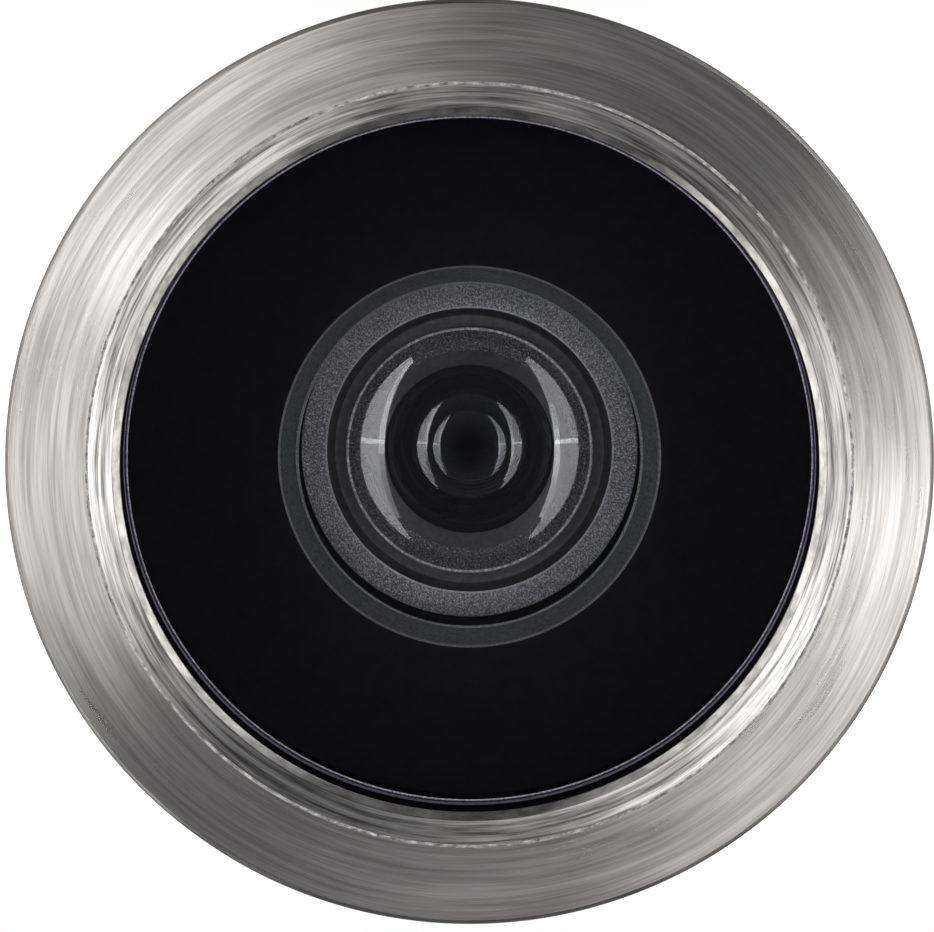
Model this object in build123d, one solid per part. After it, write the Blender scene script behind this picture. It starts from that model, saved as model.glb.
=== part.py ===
from build123d import *
from math import asin, cos, degrees, hypot, radians, sin, sqrt
import os

# Door peephole: a wide-angle optical viewer for a 14 mm hole through a house door.
# The outdoor half carries the bezel, the flat-fronted wide-angle lens and the inner lenses.
# The indoor half is an eyepiece sleeve that screws into the outdoor barrel and clamps the door,
# with a swinging privacy cover.
# Millimetres. The viewer's axis is Y. Outdoors is -Y, indoors is +Y, up is +Z.
# The origin is on the axis, in the plane where the outdoor gasket rests on the door.

# Door and hole
door_thickness = 44.0
door_max = 60.0
barrel_radius = 7.0
barrel_length = 34.0
barrel_tip_chamfer = 0.5
cut_overshoot = 1.0

# Outdoor bezel, its widths counted inwards from the rim
bezel_radius = 14.0
outer_slope_width = 2.47
bevel_width = 0.76
lip_slope_width = 0.22
crest_height = 8.2
rim_drop = 0.6
bevel_drop = 0.3
lip_wall_drop = 0.45
lip_underside_drop = 2.5
rim_edge_chamfer = 0.2
bezel_wall = 1.6
lip_cavity_depth = 0.8

# Outdoor flange, lens cup and gasket
bezel_fit_gap = 0.02
cup_wall = 1.0
gasket_thickness = 0.8
gasket_inset = 0.8
gasket_spigot_step = 0.4
gasket_bore_gap = 0.1
flange_thickness = 3.01
flange_groove_depth = 0.3
flange_groove_width = 1.0

# Wide-angle front lens
lens_pocket_gap = 0.1
pilot_gap = 0.09
pilot_edge_fillet = 0.15
pilot_recess = 2.3
lens_seal_thickness = 0.3
seal_pilot_gap = 0.1
bowl_sphere_radius = 10.0
boss_height = 0.97
boss_flank_width = 0.51
boss_gap = 0.07
mask_thickness = 0.2

# Inner lens stack, from outdoors inwards
stack_wall = 0.8
stack_gap = 0.05
baffle_collar_wall = 0.2
baffle_recess = 1.86
baffle_gutter_width = 0.26
baffle_gutter_depth = 0.36
baffle_face_width = 0.67
baffle_face_dish = 0.17
baffle_wall_taper = 0.07
baffle_wall_height = 0.33
baffle_cove = 0.18
baffle_cove_floor = 0.35
baffle_slot_width = 0.08
baffle_slot_depth = 0.25
baffle_lip_drop = 0.29
baffle_lip_width = 0.06
baffle_cone_width = 1.17
baffle_cone_depth = 0.83
baffle_seat_depth = 0.4
seat_flare = 0.57
dome_seat_gap = 0.16
second_lens_edge = 1.3
second_lens_front_radius = 5.6
second_lens_hollow_margin = 0.7
second_lens_rim_width = 2.95
spacer_length = 0.9
spacer_wall = 1.95
third_lens_edge = 1.0
third_lens_sphere_radius = 12.0
third_lens_rim_width = 1.95
objective_retainer_thickness = 1.2
objective_retainer_wall = 1.85
tool_slot_width = 1.0
tool_slot_depth = 0.5

# Screw thread between barrel and sleeve, its turns shown as rings
thread_pitch = 1.0
thread_wall = 0.6
thread_depth = 0.3
thread_clearance = 0.05
barrel_thread_depth = 0.15
thread_run_in = 0.4
thread_flank = 0.375

# Indoor washer and eyepiece sleeve
washer_thickness = 0.8
washer_inset = 0.8
washer_bore_gap = 0.2
sleeve_flange_radius = 14.0
sleeve_flange_thickness = 3.2
sleeve_flange_chamfer = 0.4
sleeve_wall = 1.4
sleeve_engagement_at_max = 3.6
coin_notch_width = 2.4
coin_notch_depth = 1.1
coin_notch_height = 1.6

# Eyepiece
eyepiece_pocket_depth = 2.4
eyepiece_seat_width = 0.65
eyepiece_edge = 1.2
eyepiece_sphere_radius = 12.0
eyepiece_retainer_thickness = 0.95
eyepiece_pocket_gap = 0.05
liner_wall = 0.4
liner_lens_gap = 0.15
liner_front_inset = 0.6
liner_groove_depth = 0.15
liner_groove_width = 1.5
liner_groove_pitch = 3.0

# Privacy cover
pivot_inset = 3.0
pivot_disc_gap = 3.0
cover_thickness = 1.4
cover_gap = 0.2
cover_edge_chamfer = 0.25
cover_lug_radius = 2.6
cover_neck_half_width = 2.2
cover_open_limit = 170.0
pivot_shoulder_radius = 1.5
pivot_running_gap = 0.05
pivot_head_radius = 2.4
pivot_head_thickness = 1.0
pivot_head_chamfer = 0.2
pivot_shank_radius = 1.1
pivot_shank_length = 2.2
pivot_slot_width = 0.5
pivot_slot_depth = 0.4
spring_washer_thickness = 0.25
spring_washer_rise = 0.2
spring_washer_radius = 2.2
stop_pin_radius = 0.6
stop_pin_embed = 1.6
stop_disc_gap = 0.6
stop_contact_gap = 0.02
ear_half_width = 0.6
ear_overreach = 0.3
tab_radius = 2.2
tab_reach = 1.6
knob_radius = 1.5
knob_height = 2.6
knob_waist_radius = 1.1
knob_waist_height = 0.9
knob_crown_height = 0.45
knob_rivet_radius = 0.6
pad_overlap = 0.2
pad_thickness = 0.6
pad_side_gap = 0.1
pad_proud = 0.1

# Derived stations along the axis
gasket_front = -gasket_thickness
flange_front = gasket_front - flange_thickness
lens_back = flange_front - mask_thickness
crest_y = -crest_height
rim_y = crest_y + rim_drop
bevel_y = crest_y + bevel_drop
lip_wall_y = crest_y + lip_wall_drop
lip_underside_y = crest_y + lip_underside_drop
lens_front = crest_y + pilot_recess
shoulder_y = lip_underside_y + lens_seal_thickness
cup_rim_y = lip_underside_y + lip_cavity_depth
bowl_rim_y = lens_back + boss_height
baffle_face_y = flange_front + baffle_recess
baffle_face_inner_y = baffle_face_y + baffle_face_dish
baffle_wall_foot_y = baffle_face_inner_y + baffle_wall_height
baffle_floor_y = baffle_wall_foot_y + baffle_cove
baffle_lip_y = baffle_face_y + baffle_lip_drop
baffle_aperture_y = baffle_lip_y + baffle_cone_depth
baffle_rear = baffle_aperture_y + baffle_seat_depth
second_lens_rear = baffle_rear + second_lens_edge
spacer_rear = second_lens_rear + spacer_length
third_lens_rear = spacer_rear + third_lens_edge
stack_rear = third_lens_rear + objective_retainer_thickness
washer_rear = door_thickness + washer_thickness
sleeve_length = door_max + washer_thickness - barrel_length + sleeve_engagement_at_max
sleeve_tip = washer_rear - sleeve_length
flange_rear = washer_rear + sleeve_flange_thickness
eyepiece_seat = flange_rear - eyepiece_pocket_depth
cover_front = flange_rear + cover_gap
cover_rear = cover_front + cover_thickness

# Derived radii
crest_radius = bezel_radius - outer_slope_width
bevel_inner_radius = crest_radius - bevel_width
lip_radius = bevel_inner_radius - lip_slope_width
bezel_seat_radius = bezel_radius - bezel_wall
cup_outer_radius = bezel_seat_radius - bezel_fit_gap
cup_inner_radius = cup_outer_radius - cup_wall
lens_radius = cup_inner_radius - lens_pocket_gap
pilot_radius = lip_radius - pilot_gap
gasket_spigot_radius = barrel_radius + gasket_spigot_step
bore_radius = barrel_radius - stack_wall
stack_radius = bore_radius - stack_gap
baffle_collar_radius = stack_radius - baffle_collar_wall
mask_bore = baffle_collar_radius - boss_gap
bowl_rim_radius = mask_bore - boss_flank_width
baffle_face_outer = baffle_collar_radius - baffle_gutter_width
baffle_face_inner = baffle_face_outer - baffle_face_width
baffle_wall_foot = baffle_face_inner - baffle_wall_taper
baffle_floor_outer = baffle_wall_foot - baffle_cove
baffle_floor_inner = baffle_floor_outer - baffle_cove_floor
baffle_lip_outer = baffle_floor_inner - baffle_slot_width
baffle_lip_inner = baffle_lip_outer - baffle_lip_width
baffle_aperture = baffle_lip_inner - baffle_cone_width
seat_radius = baffle_aperture + seat_flare
second_lens_rear_aperture = stack_radius - second_lens_rim_width
second_lens_rear_radius = second_lens_rear_aperture + second_lens_hollow_margin
spacer_aperture = stack_radius - spacer_wall
third_lens_aperture = stack_radius - third_lens_rim_width
objective_retainer_bore = stack_radius - objective_retainer_wall
thread_major_radius = barrel_radius - thread_wall
barrel_crest_radius = thread_major_radius + thread_clearance
sleeve_bore = thread_major_radius - sleeve_wall
eyepiece_lens_radius = sleeve_bore + eyepiece_seat_width
eyepiece_pocket_radius = eyepiece_lens_radius + eyepiece_pocket_gap

# Derived places of the privacy cover
pivot_height = sleeve_flange_radius - pivot_inset
cover_radius = pivot_height - pivot_disc_gap
tab_distance = cover_radius + tab_reach
pad_radius = eyepiece_pocket_radius + pad_overlap
stop_pin_x = cover_neck_half_width + stop_pin_radius + stop_contact_gap
stop_pin_z = sqrt((cover_radius + stop_pin_radius + stop_disc_gap) ** 2 - stop_pin_x ** 2)
stop_pin_distance = hypot(stop_pin_x, pivot_height - stop_pin_z)


def section_at(y):
    """Plane square to the viewer's axis, facing indoors; its local y runs down."""
    return Plane(origin=(0, y, 0), x_dir=(1, 0, 0), z_dir=(0, 1, 0))


def disc(radius, y_start, y_end, x=0.0, z=0.0):
    """Cylinder along the axis between two stations."""
    outline = section_at(y_start) * Pos(x, -z) * Circle(radius)
    return extrude(outline, y_end - y_start)


def tube(outer, inner, y_start, y_end):
    """Ring of plain section between two stations."""
    return disc(outer, y_start, y_end) - disc(inner, y_start, y_end)


def turned(points):
    """Solid of revolution about the axis from (radius, y) corner points."""
    outline = Polyline(*[(r, y) for r, y in points], close=True)
    return revolve(make_face(outline), Axis.Y)


def sphere_arc(sphere_radius, rim_radius, rim_y, towards):
    """Arc from a rim to the axis, bulging outdoors (-1) or indoors (+1)."""
    depth = sphere_radius - sqrt(sphere_radius ** 2 - rim_radius ** 2)
    apex = rim_y + towards * depth
    centre = apex - towards * sphere_radius
    half = asin(rim_radius / sphere_radius) / 2
    middle = (sphere_radius * sin(half), centre + towards * sphere_radius * cos(half))
    return ThreePointArc((rim_radius, rim_y), middle, (0, apex))


def ground(corners, curves):
    """Lens of revolution: straight edges through the corner points, curved faces from their ends."""
    side = Polyline(*corners)
    ends = [c @ 1 for c in curves]
    if len(ends) == 1:
        ends.append(side @ 0)
    axis = Line(ends[0], ends[1])
    return revolve(make_face([side, axis] + curves), Axis.Y)


def thread_teeth(crest_radius, depth, y_start, y_end):
    """Ringed thread profile: crests at the given radius, valleys one depth away, one per pitch."""
    count = int((y_end - y_start) / thread_pitch)
    points = []
    for i in range(count):
        valley = y_start + (i + 0.5) * thread_pitch
        points.append((crest_radius, valley - thread_flank))
        points.append((crest_radius + depth, valley))
        points.append((crest_radius, valley + thread_flank))
    return points


def bezel_ring():
    """Front ring: sloping brushed face, crest, inner bevel and a lip over the lens."""
    points = [
        (bezel_seat_radius, gasket_front),
        (bezel_radius, gasket_front),
        (bezel_radius, rim_y + rim_edge_chamfer),
        (bezel_radius - rim_edge_chamfer, rim_y),
        (crest_radius, crest_y),
        (bevel_inner_radius, bevel_y),
        (lip_radius, lip_wall_y),
        (lip_radius, lip_underside_y),
        (cup_inner_radius, lip_underside_y),
        (cup_inner_radius, cup_rim_y),
        (bezel_seat_radius, cup_rim_y),
    ]
    return turned(points)


def outer_barrel():
    """Threaded tube with the lens cup at its outdoor end."""
    groove_outer = cup_outer_radius - flange_groove_width
    groove_inner = groove_outer - flange_groove_width
    groove_floor = gasket_front - flange_groove_depth
    points = [
        (bore_radius, flange_front),
        (cup_inner_radius, flange_front),
        (cup_inner_radius, cup_rim_y),
        (cup_outer_radius, cup_rim_y),
        (cup_outer_radius, gasket_front),
        (groove_outer, gasket_front),
        (groove_outer, groove_floor),
        (groove_inner, groove_floor),
        (groove_inner, gasket_front),
        (gasket_spigot_radius, gasket_front),
        (gasket_spigot_radius, 0),
        (barrel_radius, 0),
        (barrel_radius, barrel_length - barrel_tip_chamfer),
        (barrel_radius - barrel_tip_chamfer, barrel_length),
        (barrel_crest_radius, barrel_length),
    ]
    thread_start = stack_rear + thread_run_in
    teeth = thread_teeth(barrel_crest_radius, barrel_thread_depth, thread_start, barrel_length)
    points.extend(reversed(teeth))
    points.append((barrel_crest_radius, thread_start))
    points.append((bore_radius, thread_start))
    return turned(points)


def outer_gasket():
    """Flat rubber ring between the bezel and the door."""
    return tube(bezel_radius - gasket_inset, gasket_spigot_radius + gasket_bore_gap, gasket_front, 0)


def front_lens():
    """Flat-fronted lens: raised pilot in the bezel opening, bowl ground into a boss behind."""
    corners = [
        (0, lens_front),
        (pilot_radius, lens_front),
        (pilot_radius, shoulder_y),
        (lens_radius, shoulder_y),
        (lens_radius, lens_back),
        (mask_bore, lens_back),
        (bowl_rim_radius, bowl_rim_y),
    ]
    lens = ground(corners, [sphere_arc(bowl_sphere_radius, bowl_rim_radius, bowl_rim_y, -1)])
    return fillet(lens.edges().sort_by(Axis.Y)[0], pilot_edge_fillet)


def lens_mask():
    """Black foil behind the flat rim of the front lens."""
    return tube(lens_radius, mask_bore, lens_back, flange_front)


def lens_seal():
    """Thin rubber ring between the lens shoulder and the bezel lip."""
    return tube(lens_radius, pilot_radius + seal_pilot_gap, lip_underside_y, shoulder_y)


def baffle_ring():
    """Black ring behind the bowl: collar, textured face, cove, slot and a cone to the aperture."""
    gutter_y = baffle_face_y + baffle_gutter_depth
    points = [
        (stack_radius, flange_front),
        (stack_radius, baffle_rear),
        (seat_radius, baffle_rear),
        (baffle_aperture, baffle_aperture_y),
        (baffle_lip_inner, baffle_lip_y),
        (baffle_lip_outer, baffle_lip_y),
        (baffle_lip_outer, baffle_floor_y + baffle_slot_depth),
        (baffle_floor_inner, baffle_floor_y + baffle_slot_depth),
        (baffle_floor_inner, baffle_floor_y),
        (baffle_floor_outer, baffle_floor_y),
        (baffle_wall_foot, baffle_wall_foot_y),
        (baffle_face_inner, baffle_face_inner_y),
        (baffle_face_outer, baffle_face_y),
        (baffle_face_outer, gutter_y),
        (baffle_collar_radius, gutter_y),
        (baffle_collar_radius, flange_front),
    ]
    return turned(points)


def second_lens():
    """Meniscus lens, domed outdoors through the baffle's aperture and hollow indoors."""
    edge = stack_radius - stack_gap
    dome_rim = seat_radius - dome_seat_gap
    corners = [
        (dome_rim, baffle_rear),
        (edge, baffle_rear),
        (edge, second_lens_rear),
        (second_lens_rear_aperture, second_lens_rear),
    ]
    dome = sphere_arc(second_lens_front_radius, dome_rim, baffle_rear, -1)
    hollow = sphere_arc(second_lens_rear_radius, second_lens_rear_aperture, second_lens_rear, -1)
    return ground(corners, [dome, hollow])


def lens_spacer():
    """Black ring that sets the distance between the second and third lens."""
    return tube(stack_radius, spacer_aperture, second_lens_rear, spacer_rear)


def third_lens():
    """Field lens, domed indoors."""
    edge = stack_radius - stack_gap
    corners = [
        (0, spacer_rear),
        (edge, spacer_rear),
        (edge, third_lens_rear),
        (third_lens_aperture, third_lens_rear),
    ]
    return ground(corners, [sphere_arc(third_lens_sphere_radius, third_lens_aperture, third_lens_rear, 1)])


def slotted(ring, radius, y_face):
    """Ring with a tool slot cut straight across its indoor face."""
    slot = Pos(0, y_face - tool_slot_depth / 2, 0)
    return ring - slot * Box(2 * (radius + cut_overshoot), tool_slot_depth, tool_slot_width)


def objective_retainer():
    """Ring that locks the lens stack, with a slot for a fork key."""
    ring = tube(stack_radius, objective_retainer_bore, third_lens_rear, stack_rear)
    return slotted(ring, stack_radius, stack_rear)


def inner_washer():
    """Flat washer between the door and the turning eyepiece flange."""
    outer = sleeve_flange_radius - washer_inset
    return tube(outer, thread_major_radius + washer_bore_gap, door_thickness, washer_rear)


def coin_notches(body):
    """Two notches in the flange edge for the fitting key."""
    width = coin_notch_depth + cut_overshoot
    height = coin_notch_height + cut_overshoot
    x = sleeve_flange_radius - coin_notch_depth + width / 2
    y = flange_rear - coin_notch_height + height / 2
    for side in (-1, 1):
        body = body - Pos(side * x, y, 0) * Box(width, height, coin_notch_width)
    return body


def eyepiece_sleeve():
    """Turning sleeve: screw tube, clamping flange, eyepiece pocket and cover fittings."""
    edge = sleeve_flange_radius - sleeve_flange_chamfer
    points = [
        (sleeve_bore, sleeve_tip),
        (thread_major_radius - thread_depth, sleeve_tip),
    ]
    points.extend(thread_teeth(thread_major_radius, -thread_depth, sleeve_tip, washer_rear))
    points.extend([
        (thread_major_radius, washer_rear),
        (edge, washer_rear),
        (sleeve_flange_radius, washer_rear + sleeve_flange_chamfer),
        (sleeve_flange_radius, flange_rear - sleeve_flange_chamfer),
        (edge, flange_rear),
        (eyepiece_pocket_radius, flange_rear),
        (eyepiece_pocket_radius, eyepiece_seat),
        (sleeve_bore, eyepiece_seat),
    ])
    body = turned(points)
    mouth = flange_rear + cut_overshoot
    body = body - disc(pivot_shank_radius, flange_rear - pivot_shank_length, mouth, z=pivot_height)
    body = body - disc(stop_pin_radius, flange_rear - stop_pin_embed, mouth, stop_pin_x, stop_pin_z)
    return coin_notches(body)


def sleeve_liner():
    """Black tube inside the sleeve, grooved against glare."""
    front = sleeve_tip + liner_front_inset
    bulge = eyepiece_sphere_radius - sqrt(eyepiece_sphere_radius ** 2 - sleeve_bore ** 2)
    rear = eyepiece_seat - bulge - liner_lens_gap
    inner = sleeve_bore - liner_wall
    liner = tube(sleeve_bore, inner, front, rear)
    count = int((rear - front) / liner_groove_pitch)
    for i in range(1, count):
        y = front + i * liner_groove_pitch
        liner = liner - disc(inner + liner_groove_depth, y, y + liner_groove_width)
    return liner


def eyepiece_lens():
    """Double-domed lens that the eye looks into."""
    front_edge = eyepiece_seat
    rear_edge = eyepiece_seat + eyepiece_edge
    rim = sleeve_bore - eyepiece_pocket_gap
    corners = [
        (rim, front_edge),
        (eyepiece_lens_radius, front_edge),
        (eyepiece_lens_radius, rear_edge),
        (rim, rear_edge),
    ]
    outdoors = sphere_arc(eyepiece_sphere_radius, rim, front_edge, -1)
    indoors = sphere_arc(eyepiece_sphere_radius, rim, rear_edge, 1)
    return ground(corners, [outdoors, indoors])


def eyepiece_retainer():
    """Ring pressed over the eyepiece lens, with a slot for a fork key."""
    start = eyepiece_seat + eyepiece_edge
    end = start + eyepiece_retainer_thickness
    return slotted(tube(eyepiece_pocket_radius, sleeve_bore, start, end), eyepiece_pocket_radius, end)


def cover_ear():
    """Small ear beside the pivot that meets the stop pin when the cover is fully open."""
    pin_angle = degrees(asin(stop_pin_x / stop_pin_distance))
    side_step = stop_pin_radius + ear_half_width + stop_contact_gap
    ear_angle = pin_angle + cover_open_limit + degrees(asin(side_step / stop_pin_distance))
    reach = stop_pin_distance + ear_overreach
    bar = Pos(reach / 2, cover_front + cover_thickness / 2, 0)
    bar = bar * Box(reach, cover_thickness, 2 * ear_half_width)
    return Pos(0, 0, pivot_height) * Rot(0, 90.0 - ear_angle, 0) * bar


def privacy_cover():
    """Swinging cover plate: disc over the eyepiece, neck, pivot lug, stop ear and finger tab."""
    middle = cover_front + cover_thickness / 2
    plate = disc(cover_radius, cover_front, cover_rear)
    lug = disc(cover_lug_radius, cover_front, cover_rear, z=pivot_height)
    neck = Pos(0, middle, pivot_height / 2)
    neck = neck * Box(2 * cover_neck_half_width, cover_thickness, pivot_height)
    tab = disc(tab_radius, cover_front, cover_rear, z=-tab_distance)
    tab_neck = Pos(0, middle, -tab_distance / 2) * Box(2 * tab_radius, cover_thickness, tab_distance)
    body = plate + lug + neck + tab + tab_neck + cover_ear()
    body = chamfer(body.edges().group_by(Axis.Y)[-1], cover_edge_chamfer)
    body = body - disc(pivot_shoulder_radius + pivot_running_gap, cover_front, cover_rear, z=pivot_height)
    body = body - disc(knob_rivet_radius, cover_front, cover_rear, z=-tab_distance)
    return body - disc(pad_radius + pad_side_gap, cover_front, cover_front + pad_thickness - pad_proud)


def cover_pad():
    """Felt disc in the cover that rests over the eyepiece."""
    pad_rear = cover_front + pad_thickness - pad_proud
    return disc(pad_radius, pad_rear - pad_thickness, pad_rear)


def cover_pivot():
    """Shoulder screw that the cover swings on."""
    head_front = cover_rear + spring_washer_thickness + spring_washer_rise
    head_rear = head_front + pivot_head_thickness
    shank = disc(pivot_shank_radius, flange_rear - pivot_shank_length, flange_rear, z=pivot_height)
    shoulder = disc(pivot_shoulder_radius, flange_rear, head_front, z=pivot_height)
    head = disc(pivot_head_radius, head_front, head_rear, z=pivot_height)
    head = chamfer(head.edges().sort_by(Axis.Y)[-1], pivot_head_chamfer)
    slot = Pos(0, head_rear - pivot_slot_depth / 2, pivot_height)
    slot = slot * Box(2 * (pivot_head_radius + cut_overshoot), pivot_slot_depth, pivot_slot_width)
    return shank + shoulder + head - slot


def spring_washer():
    """Conical spring washer under the pivot head that gives the cover its drag."""
    inner = pivot_shoulder_radius + pivot_running_gap
    points = [
        (inner, cover_rear + spring_washer_rise),
        (spring_washer_radius, cover_rear),
        (spring_washer_radius, cover_rear + spring_washer_thickness),
        (inner, cover_rear + spring_washer_rise + spring_washer_thickness),
    ]
    return Pos(0, 0, pivot_height) * turned(points)


def cover_knob():
    """Finger knob riveted to the cover's tab."""
    crown_y = cover_rear + knob_height
    points = [
        (0, cover_front),
        (knob_rivet_radius, cover_front),
        (knob_rivet_radius, cover_rear),
        (knob_radius, cover_rear),
        (knob_waist_radius, cover_rear + knob_waist_height),
        (knob_radius, crown_y - knob_crown_height),
        (knob_waist_radius, crown_y),
        (0, crown_y),
    ]
    return Pos(0, 0, -tab_distance) * turned(points)


def stop_pin():
    """Pin pressed into the flange that ends the cover's swing both ways."""
    return disc(stop_pin_radius, flange_rear - stop_pin_embed, cover_rear, stop_pin_x, stop_pin_z)


nodes = {
    "bezel_ring": bezel_ring,
    "lens_seal": lens_seal,
    "front_lens": front_lens,
    "lens_mask": lens_mask,
    "outer_barrel": outer_barrel,
    "outer_gasket": outer_gasket,
    "baffle_ring": baffle_ring,
    "second_lens": second_lens,
    "lens_spacer": lens_spacer,
    "third_lens": third_lens,
    "objective_retainer": objective_retainer,
    "inner_washer": inner_washer,
    "eyepiece_sleeve": eyepiece_sleeve,
    "sleeve_liner": sleeve_liner,
    "eyepiece_lens": eyepiece_lens,
    "eyepiece_retainer": eyepiece_retainer,
    "privacy_cover": privacy_cover,
    "cover_pad": cover_pad,
    "cover_knob": cover_knob,
    "cover_pivot": cover_pivot,
    "spring_washer": spring_washer,
    "stop_pin": stop_pin,
}

os.makedirs("parts", exist_ok=True)
for name, make in nodes.items():
    export_step(make(), "parts/" + name + ".step")
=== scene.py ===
import bmesh
import bpy
import numpy as np
from mathutils import Matrix, Vector


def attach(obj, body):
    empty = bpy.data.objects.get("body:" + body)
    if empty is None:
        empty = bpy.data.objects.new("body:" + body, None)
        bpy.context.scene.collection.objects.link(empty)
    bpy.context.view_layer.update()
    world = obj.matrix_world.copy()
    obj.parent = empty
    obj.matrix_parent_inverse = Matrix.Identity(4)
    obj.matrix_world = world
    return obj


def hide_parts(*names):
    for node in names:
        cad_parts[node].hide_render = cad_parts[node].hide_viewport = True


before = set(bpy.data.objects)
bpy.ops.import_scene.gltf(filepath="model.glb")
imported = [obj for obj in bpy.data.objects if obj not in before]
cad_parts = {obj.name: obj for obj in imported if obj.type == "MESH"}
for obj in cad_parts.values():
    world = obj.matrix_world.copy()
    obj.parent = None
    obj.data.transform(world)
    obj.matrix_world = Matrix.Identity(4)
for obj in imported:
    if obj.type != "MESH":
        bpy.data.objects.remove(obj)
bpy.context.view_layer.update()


# Bezel ring
# Nickel-plated ring that frames the lens on the outdoor face of the door. Its front is turned:
# a sloping outer band, a crest, a bevel falling inwards and a thin lip that holds the glass.
# It is pressed over the lens cup of the barrel.

MM = 0.001


def softened(corners, closed=True, steps=5):
    """Profile with rounded corners: each corner (radius, y, rounding) becomes a quadratic curve
    between the points one rounding before it and one after it, with a support point beside each
    end so that the flats stay flat. Near a short flat the rounding is a share of that flat.
    Lengths in millimetres; returns an array of (radius, y)."""
    share_of_flat = 0.42
    support_gap = 0.03
    share_of_rounding = 0.15
    outline = []
    count = len(corners)
    points = [np.array(c[:2], float) for c in corners]
    for i, corner in enumerate(corners):
        rounding = corner[2] if len(corner) > 2 else 0.0
        inner = closed or 0 < i < count - 1
        if rounding <= 0 or not inner:
            outline.append(points[i])
            continue
        before = points[i - 1] - points[i]
        after = points[(i + 1) % count] - points[i]
        shorter = min(np.linalg.norm(before), np.linalg.norm(after))
        reach = min(rounding, share_of_flat * shorter)
        start = points[i] + before / np.linalg.norm(before) * reach
        end = points[i] + after / np.linalg.norm(after) * reach
        gap = min(support_gap, reach * share_of_rounding)
        outline.append(start + before / np.linalg.norm(before) * gap)
        t = np.linspace(0, 1, steps + 1)[:, None]
        outline.extend((1 - t) ** 2 * start + 2 * t * (1 - t) * points[i] + t ** 2 * end)
        outline.append(end + after / np.linalg.norm(after) * gap)
    return np.array(outline)


def ring_mesh(name, radius, height, closed=True, x=0.0, z=0.0, angle=None):
    """Surface of revolution on a grid: point (i, j) lies at radius[i, j] from the line through
    (x, z) along Y, at angle[j] (evenly spaced if not given), and at height[i, j] along it. An open
    profile starts and ends on that line, in one pole point each. Millimetres in, metres out."""
    rows, columns = radius.shape
    if angle is None:
        angle = 2 * np.pi * np.arange(columns) / columns
    grid = np.stack([x + radius * np.cos(angle), height, z + radius * np.sin(angle)], -1) * MM
    here = np.arange(columns)
    beside = (here + 1) % columns
    if closed:
        points = grid.reshape(-1, 3)
        row = np.arange(rows)[:, None] * columns
        next_row = (row + columns) % (rows * columns)
    else:
        points = np.concatenate([grid[1:-1].reshape(-1, 3), [grid[0].mean(0), grid[-1].mean(0)]])
        row = np.arange(rows - 3)[:, None] * columns
        next_row = row + columns
    faces = np.stack([row + here, row + beside, next_row + beside, next_row + here], -1)
    faces = faces.reshape(-1, 4).tolist()
    if not closed:
        last = (rows - 3) * columns
        pole = (rows - 2) * columns
        faces += np.stack([np.full(columns, pole), beside, here], -1).tolist()
        faces += np.stack([np.full(columns, pole + 1), last + here, last + beside], -1).tolist()
    mesh = bpy.data.meshes.new(name)
    mesh.from_pydata(points.tolist(), [], faces)
    mesh.polygons.foreach_set("use_smooth", np.ones(len(mesh.polygons), bool))
    work = bmesh.new()
    work.from_mesh(mesh)
    bmesh.ops.recalc_face_normals(work, faces=work.faces)
    work.to_mesh(mesh)
    work.free()
    mesh.update()
    piece = bpy.data.objects.new(name, mesh)
    bpy.context.scene.collection.objects.link(piece)
    return piece


def turned(name, profile, closed=True, columns=192, x=0.0, z=0.0):
    """Turned piece: the same (radius, y) profile at every angle."""
    radius = np.repeat(profile[:, :1], columns, 1)
    height = np.repeat(profile[:, 1:], columns, 1)
    return ring_mesh(name, radius, height, closed, x, z)


def paint(piece, material, inner=0.0, outer=100.0, front=-100.0, back=100.0):
    """Gives another material to the faces whose centres lie between two radii, inner and outer,
    and between two places along the axis, front and back. All four are in millimetres."""
    centres = np.empty(3 * len(piece.data.polygons))
    piece.data.polygons.foreach_get("center", centres)
    centres = centres.reshape(-1, 3) / MM
    radius = np.hypot(centres[:, 0], centres[:, 2])
    y = centres[:, 1]
    chosen = (radius > inner) & (radius < outer) & (y > front) & (y < back)
    place = piece.data.materials.find(material.name)
    if place < 0:
        place = len(piece.data.materials)
        piece.data.materials.append(material)
    index = np.empty(len(centres), np.int32)
    piece.data.polygons.foreach_get("material_index", index)
    index[chosen] = place
    piece.data.polygons.foreach_set("material_index", index)


def fitted(piece, body, nodes):
    """The piece rides on that body and stands for these CAD nodes, which are hidden."""
    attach(piece, body)
    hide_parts(*nodes)


def node(tree, kind, inputs=None, **settings):
    """Adds a shader node, sets its properties, and fills or links its inputs by name or number."""
    made = tree.nodes.new(kind)
    for key, value in settings.items():
        setattr(made, key, value)
    for key, value in (inputs or {}).items():
        if isinstance(value, bpy.types.NodeSocket):
            tree.links.new(value, made.inputs[key])
        else:
            made.inputs[key].default_value = value
    return made


def arithmetic(tree, operation, first, second):
    """One number made of two by the named operation."""
    return node(tree, "ShaderNodeMath", {0: first, 1: second}, operation=operation).outputs[0]


def noise(tree, place, scale, detail, roughness=0.5, distortion=0.0):
    """Cloudy noise at a place: a number about 0.5, seldom under 0.3 or over 0.7."""
    cloud = node(tree, "ShaderNodeTexNoise", {"Vector": place, "Scale": scale, "Detail": detail})
    cloud.inputs["Roughness"].default_value = roughness
    cloud.inputs["Distortion"].default_value = distortion
    return cloud.outputs["Fac"]


def spread(tree, value, low, high, start=0.0, end=1.0):
    """The value stretched so that low gives start and high gives end, and held there past them."""
    limits = {0: value, 1: low, 2: high, 3: start, 4: end}
    return node(tree, "ShaderNodeMapRange", limits).outputs[0]


def two_tone(tree, share, dark, light):
    """Colour between dark and light by its share of light, from 0 to 1."""
    blend = node(tree, "ShaderNodeMix", {0: share}, data_type="RGBA")
    blend.inputs[6].default_value = (*dark, 1)
    blend.inputs[7].default_value = (*light, 1)
    return blend.outputs[2]


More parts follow.
